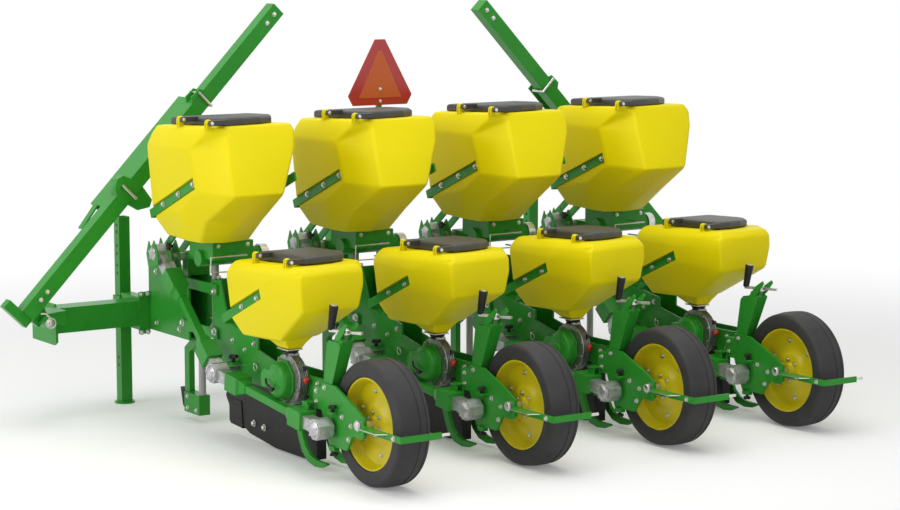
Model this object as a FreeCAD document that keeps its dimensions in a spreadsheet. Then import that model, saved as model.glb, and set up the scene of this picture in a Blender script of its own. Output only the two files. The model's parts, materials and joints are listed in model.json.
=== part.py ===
"""Four-row mounted planter: toolbar, parallel-linked row units, hoppers, markers and stands.

Frame: +X is the machine's right, +Y its direction of travel, +Z up, millimetres.
Stations along Y are measured from the press wheel's axle and moved by origin_y.
"""
import FreeCAD, Part
import math
import os
import Sketcher

doc = FreeCAD.newDocument("planter")
sheet = doc.addObject("Spreadsheet::Sheet", "dim")
next_row = 1


class Size:
    """A value that knows both its number and the expression that drives it."""

    def __init__(self, text, value):
        self.text = text
        self.value = value

    def __add__(self, other):
        return Size("(%s + %s)" % (self.text, text(other)), self.value + value(other))

    def __radd__(self, other):
        return Size("(%s + %s)" % (text(other), self.text), value(other) + self.value)

    def __sub__(self, other):
        return Size("(%s - %s)" % (self.text, text(other)), self.value - value(other))

    def __rsub__(self, other):
        return Size("(%s - %s)" % (text(other), self.text), value(other) - self.value)

    def __mul__(self, other):
        return Size("(%s * %s)" % (self.text, text(other)), self.value * value(other))

    __rmul__ = __mul__

    def __truediv__(self, other):
        return Size("(%s / %s)" % (self.text, text(other)), self.value / value(other))

    def __neg__(self):
        return Size("(0 - %s)" % self.text, -self.value)


def text(item):
    return item.text if isinstance(item, Size) else "%.9g" % item


def value(item):
    return item.value if isinstance(item, Size) else float(item)


def root(item):
    return Size("sqrt(%s)" % item.text, math.sqrt(item.value))


def bearing(rise, run):
    """Angle in degrees of a line with this rise and run."""
    angle = math.degrees(math.atan2(value(rise), value(run)))
    return Size("(atan2(%s; %s) / 1 deg)" % (text(rise), text(run)), angle)


def size(name, number):
    """Write one driving dimension into the sheet and return it as a Size."""
    global next_row
    cell = "B%d" % next_row
    sheet.set("A%d" % next_row, name)
    sheet.set(cell, "%.6g" % number)
    sheet.setAlias(cell, name)
    next_row += 1
    return Size("dim.%s" % name, float(number))


# ---------------------------------------------------------------- driving sizes
origin_y = size("origin_y", -1065)
row_pitch = size("row_pitch", 800)

wheel_r = size("wheel_r", 284)
tyre_w = size("tyre_w", 160)
rim_r = size("rim_r", 205)
rim_w = size("rim_w", 132)
axle_r = size("axle_r", 15)
axle_fit = size("axle_fit", 0.05)
arm_gap = size("arm_gap", 20)
plate = size("plate", 12)

bar_w = size("bar_w", 127)
bar_wall = size("bar_wall", 8)
bar_y = size("bar_y", 2200)
bar_z = size("bar_z", 500)
bar_half = size("bar_half", 1776)

unit_w = size("unit_w", 120)
link_t = size("link_t", 12)
link_h = size("link_h", 50)
link_front = size("link_front", 1745)
link_rear = size("link_rear", 1410)
link_top = size("link_top", 707)
link_low = size("link_low", 492)

fert_rear = size("fert_rear", 919)
fert_front = size("fert_front", 1700)
fert_left = size("fert_left", 285)
fert_right = size("fert_right", 272)
fert_low = size("fert_low", 945)
fert_deck = size("fert_deck", 1520)
seed_rear = size("seed_rear", 319)
seed_front = size("seed_front", 1000)
seed_left = size("seed_left", 240)
seed_right = size("seed_right", 224)
seed_low = size("seed_low", 575)
seed_deck = size("seed_deck", 938)
lid_t = size("lid_t", 36)
lid_gap = size("lid_gap", 1)
pin_r = size("pin_r", 8)
pin_fit = size("pin_fit", 0.05)
hinge_h = size("hinge_h", 17)
ear_t = size("ear_t", 26)
fert_ear_x = size("fert_ear_x", 242)
seed_ear_x = size("seed_ear_x", 195)
strap_t = size("strap_t", 10)
strap_h = size("strap_h", 42)
strap_fit = size("strap_fit", 0.5)
fert_strap_x = size("fert_strap_x", 260)
seed_strap_x = size("seed_strap_x", 214)

drive_x = size("drive_x", 165)
stand_x = size("stand_x", 1291)
stand_y = size("stand_y", 2373)
stand_w = size("stand_w", 60)
stand_top = size("stand_top", 972)
stand_fit = size("stand_fit", 0.5)

marker_x = size("marker_x", 1930)
marker_y = size("marker_y", 1930)
marker_z = size("marker_z", 542)
marker_w = size("marker_w", 76)
marker_len = size("marker_len", 1979)
marker_angle = size("marker_angle", 46)
marker_off = size("marker_off", 98)
marker_pin_r = size("marker_pin_r", 16)
marker_fit = size("marker_fit", 0.05)
marker_gap = size("marker_gap", 6)
barrel_r = size("barrel_r", 28)
sign_x = size("sign_x", 112)
sign_z = size("sign_z", 1505)
sign_w = size("sign_w", 400)
sign_h = size("sign_h", 350)

hitch_half = size("hitch_half", 400.5)
hitch_y = size("hitch_y", 2430)
hitch_z = size("hitch_z", 430)
hitch_pin_r = size("hitch_pin_r", 14.2)
mast_h = size("mast_h", 610)
top_pin_r = size("top_pin_r", 12.85)

ROW = -1.5 * row_pitch
SIDE = unit_w / 2
BAR_REAR = bar_y - bar_w / 2
BAR_FRONT = bar_y + bar_w / 2
BAR_TOP = bar_z + bar_w / 2
BAR_LOW = bar_z - bar_w / 2
ARM = tyre_w / 2 + arm_gap
doc.recompute()

sub_parts = []


# ---------------------------------------------------------------- modelling helpers
def new_body(label):
    body = doc.addObject("PartDesign::Body", label)
    body.Label = label
    body.AllowCompound = True
    body.setExpression("Placement.Base.y", "dim.origin_y")
    sub_parts.append(body)
    return body


def origin_feature(body, role):
    return next(item for item in body.Origin.OriginFeatures if item.Role == role)


def attach(sketch, body, plane, place, turn, axis):
    """Put a sketch on an origin plane, moved by place and turned by turn degrees."""
    sketch.AttachmentSupport = (origin_feature(body, plane + "_Plane"), "")
    sketch.MapMode = "FlatFace"
    vector = FreeCAD.Vector(*[value(item) for item in place])
    rotation = FreeCAD.Rotation(FreeCAD.Vector(*axis), value(turn))
    sketch.AttachmentOffset = FreeCAD.Placement(vector, rotation)
    for letter, item in zip("xyz", place):
        if isinstance(item, Size):
            sketch.setExpression("AttachmentOffset.Base.%s" % letter, item.text)
    if isinstance(turn, Size):
        sketch.setExpression("AttachmentOffset.Rotation.Angle", turn.text)


def fix(sketch, kind, *items):
    """Add a dimension whose last item may be a driven Size."""
    number = value(items[-1])
    index = sketch.addConstraint(Sketcher.Constraint(kind, *items[:-1], number))
    if isinstance(items[-1], Size):
        sketch.setExpression("Constraints[%d]" % index, items[-1].text)


def draw_loop(sketch, points):
    first = sketch.GeometryCount
    corners = [FreeCAD.Vector(value(u), value(v), 0) for u, v in points]
    count = len(corners)
    for i in range(count):
        sketch.addGeometry(Part.LineSegment(corners[i], corners[(i + 1) % count]))
    for i in range(count):
        after = first + (i + 1) % count
        sketch.addConstraint(Sketcher.Constraint("Coincident", first + i, 2, after, 1))
    for i, (u, v) in enumerate(points):
        fix(sketch, "DistanceX", -1, 1, first + i, 1, u)
        fix(sketch, "DistanceY", -1, 1, first + i, 1, v)


def draw_circle(sketch, u, v, radius):
    index = sketch.GeometryCount
    centre = FreeCAD.Vector(value(u), value(v), 0)
    sketch.addGeometry(Part.Circle(centre, FreeCAD.Vector(0, 0, 1), value(radius)))
    fix(sketch, "Radius", index, radius)
    fix(sketch, "DistanceX", -1, 1, index, 3, u)
    fix(sketch, "DistanceY", -1, 1, index, 3, v)


def new_sketch(body, plane, place, shapes, turn=0.0, axis=(0, 0, 1)):
    """Shapes are lists of corners, or (u, v, radius) circles."""
    sketch = body.newObject("Sketcher::SketchObject", body.Name + "_sketch")
    attach(sketch, body, plane, place, turn, axis)
    for shape in shapes:
        if isinstance(shape, tuple):
            draw_circle(sketch, *shape)
        else:
            draw_loop(sketch, shape)
    return sketch


def box(u0, v0, u1, v1):
    return [(u0, v0), (u1, v0), (u1, v1), (u0, v1)]


def regular(u, v, radius, sides):
    """Corners of a regular polygon with a flat side below."""
    corners = []
    for i in range(sides):
        angle = math.pi * (2 * i + 1) / sides - math.pi / 2
        corners.append((u + radius * math.cos(angle), v + radius * math.sin(angle)))
    return corners


def extrude(kind, body, plane, place, depth, shapes, turn):
    sketch = new_sketch(body, plane, place, shapes, turn)
    feature = body.newObject("PartDesign::" + kind, body.Name + "_" + kind.lower())
    feature.Profile = sketch
    feature.Length = value(depth)
    if isinstance(depth, Size):
        feature.setExpression("Length", depth.text)
    body.Tip = feature
    return feature


def side_pad(body, x, depth, *shapes, at=(0, 0), turn=0.0):
    """Profile in Y and Z, thickened from x towards +X."""
    return extrude("Pad", body, "YZ", (at[0], at[1], x), depth, shapes, turn)


def rear_pad(body, y, depth, *shapes, at=(0, 0), turn=0.0):
    """Profile in X and Z, thickened from y towards -Y."""
    return extrude("Pad", body, "XZ", (at[0], at[1], -y), depth, shapes, turn)


def top_pad(body, z, depth, *shapes, at=(0, 0), turn=0.0):
    """Profile in X and Y, thickened from z upwards."""
    return extrude("Pad", body, "XY", (at[0], at[1], z), depth, shapes, turn)


def side_cut(body, x, depth, *shapes, at=(0, 0), turn=0.0):
    """Pocket from x towards -X."""
    return extrude("Pocket", body, "YZ", (at[0], at[1], x), depth, shapes, turn)


def rear_cut(body, y, depth, *shapes, at=(0, 0), turn=0.0):
    """Pocket from y towards +Y."""
    return extrude("Pocket", body, "XZ", (at[0], at[1], -y), depth, shapes, turn)


def top_cut(body, z, depth, *shapes, at=(0, 0), turn=0.0):
    """Pocket from z downwards."""
    return extrude("Pocket", body, "XY", (at[0], at[1], z), depth, shapes, turn)


def side_bar(body, x, depth, start, end, height, cut=False):
    """Straight bar between two stations in Y and Z; a cut goes from x towards -X."""
    run = end[0] - start[0]
    rise = end[1] - start[1]
    if not isinstance(run, Size):
        run = Size(text(run), float(run))
    if not isinstance(rise, Size):
        rise = Size(text(rise), float(rise))
    length = root(run * run + rise * rise)
    shape = box(0, -0.5 * height, length, 0.5 * height)
    tool = side_cut if cut else side_pad
    return tool(body, x, depth, shape, at=start, turn=bearing(rise, run))


def turn_x(body, x, y, z, profile):
    """Revolve a profile of (offset along X, radius) about a line parallel to X."""
    sketch = new_sketch(body, "XZ", (x, z, -y), [profile])
    feature = body.newObject("PartDesign::Revolution", body.Name + "_revolution")
    feature.Profile = sketch
    feature.ReferenceAxis = (sketch, ["H_Axis"])
    feature.Angle = 360.0
    body.Tip = feature
    return feature


def loft(body, sections):
    """Ruled loft through (height, tilt, corners) sections of the same corner count."""
    sketches = []
    for place, tilt, corners in sections:
        sketches.append(new_sketch(body, "XY", place, [corners], tilt, (1, 0, 0)))
    feature = body.newObject("PartDesign::AdditiveLoft", body.Name + "_loft")
    feature.Profile = sketches[0]
    feature.Sections = sketches[1:]
    feature.Ruled = True
    body.Tip = feature
    return feature


def four_rows(body):
    """Repeat the whole body at each row."""
    doc.recompute()
    pattern = body.newObject("PartDesign::LinearPattern", body.Name + "_rows")
    pattern.TransformMode = "Whole shape"
    pattern.Direction = (origin_feature(body, "X_Axis"), [""])
    pattern.Occurrences = 4
    pattern.Length = 3 * row_pitch.value
    pattern.setExpression("Length", (3 * row_pitch).text)
    body.Tip = pattern


def mirrored(x, depth):
    """Starts of a piece and of its mirror image, both thickened towards +X."""
    return (x, -x - depth)


# ---------------------------------------------------------------- toolbar and hitch
def make_toolbar():
    body = new_body("toolbar")
    side_pad(body, -bar_half, 2 * bar_half, box(BAR_REAR, BAR_LOW, BAR_FRONT, BAR_TOP),
             box(BAR_REAR + bar_wall, BAR_LOW + bar_wall, BAR_FRONT - bar_wall, BAR_TOP - bar_wall))


def make_hitch():
    body = new_body("hitch_frame")
    low = [(BAR_FRONT, BAR_LOW), (hitch_y + 45, hitch_z - 45), (hitch_y + 45, hitch_z + 45),
           (BAR_FRONT, BAR_TOP)]
    for x in mirrored(-hitch_half, 20):
        side_pad(body, x, 20, low)
    top_z = hitch_z + mast_h
    mast = [(BAR_FRONT, BAR_LOW), (BAR_FRONT + 70, BAR_LOW), (hitch_y + 30, top_z - 40),
            (hitch_y + 30, top_z + 40), (hitch_y - 40, top_z + 40), (BAR_FRONT, BAR_TOP)]
    for x in mirrored(-56, 16):
        side_pad(body, x, 16, mast, (hitch_y, top_z, top_pin_r))
    side_pad(body, -40, 80, box(BAR_FRONT, BAR_LOW, BAR_FRONT + 30, BAR_TOP))

    pins = new_body("hitch_pins")
    for x in mirrored(-hitch_half - 12, 12):
        side_pad(pins, x, 12, (hitch_y, hitch_z, 30))
    for x in mirrored(-hitch_half - 80, 68):
        side_pad(pins, x, 68, (hitch_y, hitch_z, hitch_pin_r))


def make_markers():
    """Folding row markers: each turns in a barrel on a pin beside the toolbar's end plate."""
    half = marker_w / 2
    rear = marker_y - half
    front = marker_y + half
    barrel_rear = rear - 22
    boss_rear = front + 2 * marker_gap
    boss_front = BAR_REAR - marker_gap
    brackets = new_body("marker_brackets")
    pins = new_body("marker_pins")
    for side, word in ((-1, "left"), (1, "right")):
        x = side * marker_x
        wall = side * bar_half
        plate_start = -bar_half - plate if side < 0 else bar_half
        side_pad(brackets, plate_start, plate, [
            (BAR_REAR - 28, BAR_LOW - 40), (BAR_REAR, BAR_LOW - 56), (BAR_FRONT + 130, BAR_LOW - 56),
            (BAR_FRONT + 130, bar_z + 20), (BAR_FRONT, BAR_TOP + 24), (BAR_REAR - 10, BAR_TOP + 24),
            (BAR_REAR - 28, BAR_TOP - 14)])
        web = wall + side * plate
        rear_pad(brackets, boss_front, boss_front - boss_rear, [
            (web, marker_z - 40), (x, marker_z - 20), (x, marker_z + 20), (web, marker_z + 34)])
        rear_pad(brackets, boss_front, boss_front - boss_rear, (x, marker_z, barrel_r))
        rear_cut(brackets, boss_rear - 1, boss_front - boss_rear + 2, (x, marker_z, marker_pin_r))
        rear_pad(pins, boss_front, boss_front - barrel_rear + marker_gap, (x, marker_z, marker_pin_r))
        rear_pad(pins, barrel_rear - marker_gap, 10, (x, marker_z, marker_pin_r + 10))
        make_marker_arm(word, side, x, rear, front, barrel_rear, boss_rear - marker_gap)


def make_marker_arm(word, side, x, rear, front, barrel_rear, barrel_front):
    """Square tube on a hinge barrel, with the outer section folded back along it as a channel."""
    arm = new_body("marker_arm_" + word)
    turn = marker_angle if side < 0 else 180 - marker_angle
    low = marker_off - marker_w / 2
    high = marker_off + marker_w / 2

    def across(*corners):
        """Corners along and above the arm, with the side above it outboard on both arms."""
        return [(u, -side * v) for u, v in corners]

    def member(y_front, depth, *corners):
        rear_pad(arm, y_front, depth, across(*corners), at=(x, marker_z), turn=turn)

    member(front, front - rear, (-40, low), (marker_len, low), (marker_len, high), (-40, high))
    member(front, 34, (-40, 0), (25, -15), (60, low), (-40, low))
    rear_pad(arm, barrel_front, barrel_front - barrel_rear, (x, marker_z, barrel_r))
    rear_cut(arm, barrel_rear - 1, barrel_front - barrel_rear + 2, (x, marker_z, marker_pin_r + marker_fit))
    member(marker_y + 24, 48, (-88, low), (-40, low), (-40, high + 80), (-88, high + 80))
    wall = 8
    reach = front + 120
    member(reach, 120, (620, high - wall), (1335, high - wall), (1335, high), (620, high))
    for edge in (reach, front + wall):
        member(edge, wall, (620, high - 50), (1335, high - 50), (1335, high - wall), (620, high - wall))
    member(front + 85, 45, (480, high - 24), (620, high - wall), (620, high), (480, high - 16))


def make_stands():
    """Square legs on round feet that slide in sleeves clamped to the toolbar."""
    half = stand_w / 2
    inner = half + stand_fit
    outer = inner + 8
    clamp_rear = BAR_REAR - plate
    sleeves = new_body("stand_sleeves")
    for side, word in ((-1, "left"), (1, "right")):
        x = side * stand_x
        leg = new_body("stand_" + word)
        top_pad(leg, 10, stand_top - 10, box(x - half, stand_y - half, x + half, stand_y + half),
                box(x - half + 5, stand_y - half + 5, x + half - 5, stand_y + half - 5))
        top_pad(leg, 0, 10, (x, stand_y, 52))
        top_pad(sleeves, BAR_LOW, bar_w, box(x - outer, stand_y - outer, x + outer, stand_y + outer),
                box(x - inner, stand_y - inner, x + inner, stand_y + inner))
        top_pad(sleeves, BAR_LOW, bar_w, box(x - half, BAR_FRONT, x + half, stand_y - outer))
        rear_pad(sleeves, BAR_REAR, plate, box(x - half, BAR_LOW - 42, x + half, BAR_TOP + 46))
        for low in (BAR_LOW - 20, BAR_TOP):
            top_pad(sleeves, low, 20, box(x - half, clamp_rear, x + half, stand_y - outer))


# ---------------------------------------------------------------- row units
def make_row_frames():
    body = new_body("toolbar_brackets")
    cheek = box(link_front - 45, BAR_LOW - 20, BAR_REAR, link_top + 45)
    side_pad(body, ROW - SIDE, plate, cheek)
    side_pad(body, ROW + SIDE - plate, plate, cheek)
    side_pad(body, ROW - SIDE + plate, unit_w - 2 * plate,
             box(BAR_REAR - plate, BAR_LOW - 20, BAR_REAR, link_top + 45))
    side_pad(body, ROW - SIDE + plate, unit_w - 2 * plate,
             box(link_front - 45, link_top + 33, BAR_REAR - plate, link_top + 45))
    side_pad(body, ROW - SIDE + plate, unit_w - 2 * plate,
             box(link_front - 45, BAR_LOW - 20, BAR_REAR - plate, BAR_LOW - 8))
    four_rows(body)

    links = new_body("parallel_links")
    for height in (link_low, link_top):
        for x in (ROW - SIDE - link_t, ROW + SIDE):
            side_pad(links, x, link_t, box(link_rear - 25, height - link_h / 2,
                                           link_front + 25, height + link_h / 2))
    four_rows(links)

    frame = new_body("row_frames")
    cheek = [(link_rear + 40, link_low - 45), (link_rear + 40, link_top + 45), (link_rear - 40, link_top + 45),
             (1290, 560), (1200, 545), (1150, 545), (1000, 520), (1000, 470), (760, 420), (400, 420), (400, 300), (1290, 300)]
    side_pad(frame, ROW - SIDE, 10, cheek)
    side_pad(frame, ROW + SIDE - 10, 10, cheek)
    side_pad(frame, ROW - SIDE + 10, unit_w - 20, box(1200, 300, 1290, 560))
    side_pad(frame, ROW - SIDE + 10, unit_w - 20, box(400, 300, 410, 420))
    side_pad(frame, ROW - SIDE + 10, unit_w - 20, box(link_rear + 30, link_low - 45, link_rear + 40,
                                                      link_top + 45))
    four_rows(frame)


column_foot = (305, 395)
column_top = (195, 640)


def make_wheel_arms():
    body = new_body("wheel_arms")
    near = [(-40, 245), (-15, 222), (60, 225), (115, 150), (265, 150), (330, 300), (400, 300), (400, 400),
            (330, 400), (330, 425), (215, 425), (30, 350), (-35, 315)]
    far = [(-40, 245), (-15, 222), (60, 225), (330, 300), (400, 300), (400, 400), (330, 400), (30, 350),
           (-35, 315)]
    hole = (0, wheel_r, axle_r)
    side_pad(body, ROW - ARM - plate, plate, near, hole)
    side_pad(body, ROW + ARM, plate, far, hole)
    side_pad(body, ROW - ARM, 2 * ARM, box(330, 300, 400, 400))
    side_bar(body, ROW - ARM, 60, column_foot, column_top, 60)
    four_rows(body)

    axle = new_body("wheel_axles")
    turn_x(axle, ROW, 0, wheel_r, [
        (-ARM - plate - 16, 0), (-ARM - plate - 16, 24), (-ARM - plate, 24), (-ARM - plate, axle_r),
        (ARM + plate, axle_r), (ARM + plate, 24), (ARM + plate + 16, 24), (ARM + plate + 16, 0)])
    four_rows(axle)

    scraper = new_body("wheel_scrapers")
    side_pad(scraper, ROW - ARM - plate - 10, 10, box(-345, 262, -45, 290))
    side_pad(scraper, ROW - ARM - plate, 2 * ARM, box(-345, 262, -335, 290))
    side_pad(scraper, ROW - ARM - plate - 10, 10, box(-46, 245, -25, 300))
    four_rows(scraper)


def make_wheel(number):
    """One press wheel: rubber tyre on a dished steel rim with its hub."""
    x = ROW + (number - 1) * row_pitch
    tyre = new_body("tyre_%d" % number)
    half = tyre_w / 2
    turn_x(tyre, x, 0, wheel_r, [
        (-half, rim_r), (-half, wheel_r - 24), (-half + 24, wheel_r), (half - 24, wheel_r), (half, wheel_r - 24),
        (half, rim_r)])

    rim = new_body("rim_%d" % number)
    edge = rim_w / 2
    bore = axle_r + axle_fit
    lip = rim_r - 9
    turn_x(rim, x, 0, wheel_r, [
        (-edge, rim_r), (edge, rim_r), (edge, lip), (8, lip), (8, 36), (44, 36), (44, bore), (-52, bore),
        (-52, 36), (-8, 36), (-8, lip), (-edge, lip)])


def make_ground_tools():
    runner = new_body("runner_openers")
    side_pad(runner, ROW - 25, 50, [(520, 25), (640, 12), (900, 12), (1150, 40), (1330, 110), (1390, 190),
                                    (1330, 300), (520, 300)])
    four_rows(runner)

    knife = new_body("covering_knives")
    blade = [(790, 330), (750, 330), (640, 190), (520, 80), (380, 40), (340, 15), (380, 12), (540, 35),
             (690, 170)]
    side_pad(knife, ROW - SIDE - 20, 20, blade)
    side_pad(knife, ROW + SIDE, 20, blade)
    four_rows(knife)

    shank = new_body("fertiliser_shanks")
    side_pad(shank, ROW - 15, 30, [(1760, BAR_LOW - 20), (1700, BAR_LOW - 20), (1700, 400), (1790, 340),
                                   (1790, 140), (1840, 140), (1840, 360)])
    side_pad(shank, ROW - 30, 60, box(1660, 40, 1820, 140))
    four_rows(shank)

    point = new_body("fertiliser_points")
    side_pad(point, ROW - 12, 24, [(1820, 30), (1870, 60), (1895, 150), (1840, 140), (1820, 140)])
    four_rows(point)


# ---------------------------------------------------------------- hoppers
LEFT_SLOPE = 1.4
RIGHT_SLOPE = 0.55
NOSE = 50
SPARE = 500


def wall_cut(body, toward, depth, profile):
    """Cut away what lies beyond a wall whose profile gives (distance, height) along a level direction."""
    turn = math.degrees(math.atan2(toward[1], toward[0]))
    low = profile[0]
    high = profile[-1]
    reach = max(value(distance) for distance, height in profile) + SPARE
    outline = [(reach, low[1] - 5), (low[0], low[1] - 5)] + profile + [(high[0], high[1] + 5), (reach, high[1] + 5)]
    sketch = new_sketch(body, "XZ", (ROW, 0, 0), [outline], turn, (0, 1, 0))
    feature = body.newObject("PartDesign::Pocket", body.Name + "_wall")
    feature.Profile = sketch
    feature.Midplane = True
    feature.Length = depth
    body.Tip = feature


def make_shell(body, left, right, rear, front, levels):
    """Moulded hopper: levels give height, the insets of the four walls and the two cut rear corners."""
    rear_wall = [(rear + level[3], level[0]) for level in levels]
    front_wall = [(front - level[4], level[0]) for level in levels]
    side_pad(body, ROW - left - SPARE / 2, left + right + SPARE, rear_wall + front_wall[::-1])
    for spot, slope in (("left", None), ("right", None), ("left", LEFT_SLOPE), ("right", RIGHT_SLOPE),
                        ("left", -1.0), ("right", -1.0)):
        side = -1 if spot == "left" else 1
        across = side if slope is None else side / math.hypot(1, slope)
        along = 0.0 if slope is None else -slope / math.hypot(1, slope)
        profile = []
        for height, in_left, in_right, in_rear, in_front, left_cut, right_cut in levels:
            x = in_left - left if side < 0 else right - in_right
            if slope is None:
                corner = (x, 0.0)
            elif slope < 0:
                corner = (x - side * NOSE, front - in_front)
            else:
                corner = (x - side * (left_cut if side < 0 else right_cut), rear + in_rear)
            profile.append((across * corner[0] + along * corner[1], height))
        wall_cut(body, (across, along), 6000, profile)


def strap_slots(body, strap_x, start, end):
    """Slots in both walls that the carrying strap lies in."""
    for x in (ROW - strap_x, ROW + strap_x + 60):
        side_bar(body, x, 60, start, end, strap_h + 2 * strap_fit, cut=True)


FERT_STRAP = ((1202, 1257), (1684, 1061))
SEED_STRAP = ((658, 795), (1045, 626))
FERT_EARS = (1114, 1397)
SEED_EARS = (470, 755)
FERT_LID = [(-176, 1101), (60, 1150), (170, 1246), (250, 1410), (250, 1640), (-176, 1640)]
SEED_LID = [(-136, 430), (0, 440), (140, 520), (176, 640), (176, 900), (-136, 900)]


def make_fert_hoppers():
    body = new_body("fertiliser_hoppers")
    make_shell(body, fert_left, fert_right, fert_rear, fert_front, [
        (fert_low, 45, 122, 371, 190, 35, 80),
        (fert_low + 121, 0, 0, 198, 57, 53, 220),
        (fert_low + 260, 0, 0, 0, 0, 61, 232),
        (fert_deck - 110, 0, 0, 117, 0, 57, 107),
        (fert_deck - 35, 15, 14, 160, 10, 40, 66),
        (fert_deck, 33, 26, 171, 30, 28, 70)])
    strap_slots(body, fert_strap_x, *FERT_STRAP)
    ears(body, fert_ear_x, fert_deck, FERT_EARS)
    four_rows(body)


def make_seed_hoppers():
    body = new_body("seed_hoppers")
    make_shell(body, seed_left, seed_right, seed_rear, seed_front, [
        (seed_low, 16, 94, 341, 90, 12, 40),
        (seed_low + 175, 0, 0, 0, 15, 18, 134),
        (seed_deck - 90, 0, 0, 2, 0, 16, 120),
        (seed_deck - 22, 10, 6, 8, 5, 10, 112),
        (seed_deck, 32, 26, 30, 25, 8, 105)])
    strap_slots(body, seed_strap_x, *SEED_STRAP)
    ears(body, seed_ear_x, seed_deck, SEED_EARS)
    side_pad(body, ROW - 130, 70, [(670, seed_low), (760, seed_low), (700, 530), (620, 530)])
    four_rows(body)


def ears(body, ear_x, deck, stations):
    """Ears that carry a lid's hinge pins."""
    x = ROW - ear_x
    z = deck + hinge_h
    shape = [(x - 13, deck - 6), (x + 13, deck - 6), (x + 13, z + 6), (x + 6, z + 13), (x - 6, z + 13), (x - 13, z + 6)]
    for y in stations:
        rear_pad(body, y + ear_t, ear_t, shape, (x, z, pin_r))


def make_lids():
    pins = new_body("lid_hinge_pins")
    for name, ear_x, deck, stations, plan in (
            ("fertiliser_lid", fert_ear_x, fert_deck, FERT_EARS, FERT_LID),
            ("seed_lid", seed_ear_x, seed_deck, SEED_EARS, SEED_LID)):
        z = deck + hinge_h
        for y in stations:
            rear_pad(pins, y + ear_t, 2 * ear_t + 6, (ROW - ear_x, z, pin_r))
        for number in (1, 2, 3, 4):
            make_lid("%s_%d" % (name, number), ROW + (number - 1) * row_pitch, ear_x, deck, stations, plan)
    four_rows(pins)


def make_lid(name, x, ear_x, deck, stations, plan):
    """Flat-skirted lid with a lug behind each ear."""
    lid = new_body(name)
    z = deck + hinge_h
    top_pad(lid, deck + lid_gap, lid_t, [(x + u, v) for u, v in plan])
    for y in stations:
        rear_pad(lid, y - 2, ear_t - 2, box(x - ear_x - 12, z - 12, x + plan[0][0], z + 12))
        rear_cut(lid, y - ear_t - 1, ear_t + 2, (x - ear_x, z, pin_r + pin_fit))


def make_supports():
    """U-shaped straps round the hoppers, and the posts that carry them."""
    posts = new_body("hopper_posts")
    for name, strap_x, line, low, foot in (
            ("fertiliser_straps", fert_strap_x, FERT_STRAP, 1042,
             [(BAR_REAR - 20, link_top + 45), (BAR_REAR - 80, link_top + 45)]),
            ("seed_straps", seed_strap_x, SEED_STRAP, 604, [(1195, 545), (1160, 545)])):
        strap = new_body(name)
        for x in (ROW - strap_x - strap_t, ROW + strap_x):
            side_bar(strap, x, strap_t, *line, strap_h)
        face = line[1][0] - 4
        side_pad(strap, ROW - strap_x, 2 * strap_x, box(face - 12, low, face, low + 45))
        four_rows(strap)
        for x in (ROW - SIDE, ROW + SIDE - plate):
            side_pad(posts, x, plate, [(face, low), (face, low + 45)] + foot)
    four_rows(posts)


drive_front = (1785, 850)
drive_middle = (1203, 341)
drive_rear = (240, 235)


def bell(body, start, end):
    """Square tube of sheet round a shaft's joint."""
    sheet = 5
    outer = 84
    x = ROW - drive_x - outer / 2
    for wall in (x, x + outer - sheet):
        side_bar(body, wall, sheet, start, end, outer)
    run = end[0] - start[0]
    rise = end[1] - start[1]
    length = math.hypot(run, rise)
    shift = (outer - sheet) / 2
    for sign in (-1, 1):
        dy = -sign * shift * rise / length
        dz = sign * shift * run / length
        side_bar(body, x + sheet, outer - 2 * sheet, (start[0] + dy, start[1] + dz), (end[0] + dy, end[1] + dz), sheet)


def make_drives():
    """Ground drive on the left of each row: wheel to lower shaft, gearbox, upper shaft, distributor."""
    house = new_body("fertiliser_distributors")
    side_pad(house, ROW - 110, 220, box(1345, link_top + 150, 1585, fert_low))
    side_pad(house, ROW - 130, 330, regular(1465, link_top + 150, 40, 12))
    side_pad(house, ROW - SIDE, unit_w, box(1700, link_top + 45, 1760, link_top + 150))
    side_pad(house, ROW - SIDE, unit_w, box(1585, link_top + 120, 1760, link_top + 150))
    four_rows(house)

    ring = new_body("distributor_rings")
    side_pad(ring, ROW + 200, 40, (1465, link_top + 150, 48))
    four_rows(ring)

    gear = new_body("drive_gearboxes")
    inner = ROW - drive_x + 38
    for y, z in (drive_front, drive_middle, drive_rear):
        side_pad(gear, ROW - drive_x - 38, 76, regular(y, z, 50, 8))
    side_pad(gear, inner, drive_x - 38 - ARM - plate, regular(240, 235, 22, 6))
    side_pad(gear, inner, drive_x - 38 - SIDE, regular(1203, 341, 22, 6))
    side_pad(gear, inner, drive_x - 38 - SIDE, regular(1738, 833, 22, 6))
    guard = new_body("drive_guards")
    shaft = new_body("drive_shafts")
    for start, end, stops in ((drive_front, drive_middle, (0, 135, 250, 600, 700, 773)),
                              (drive_middle, drive_rear, (0, 140, 250, 735, 845, 969))):
        span = math.dist(start, end)

        def station(stop):
            return tuple(u + (v - u) * stop / span for u, v in zip(start, end))

        def member(body, width, first, last):
            side_bar(body, ROW - drive_x - width / 2, width, station(first), station(last), width)

        member(gear, 56, stops[0], stops[1])
        member(gear, 56, stops[4], stops[5])
        member(shaft, 36, stops[1] + 6, stops[4] - 6)
        member(guard, 84, stops[1], stops[1] + 6)
        member(guard, 84, stops[4] - 6, stops[4])
        bell(guard, station(stops[1] + 6), station(stops[2]))
        bell(guard, station(stops[3]), station(stops[4] - 6))
    four_rows(gear)
    four_rows(guard)
    four_rows(shaft)

    meter = new_body("seed_meters")
    side_pad(meter, ROW - SIDE - 50, 50, (640, 390, 118))
    side_pad(meter, ROW - SIDE - 50, 50, box(610, 470, 670, 515))
    four_rows(meter)

    neck = new_body("meter_necks")
    top_pad(neck, 515, 15, (ROW - SIDE - 25, 640, 22))
    four_rows(neck)


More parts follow.
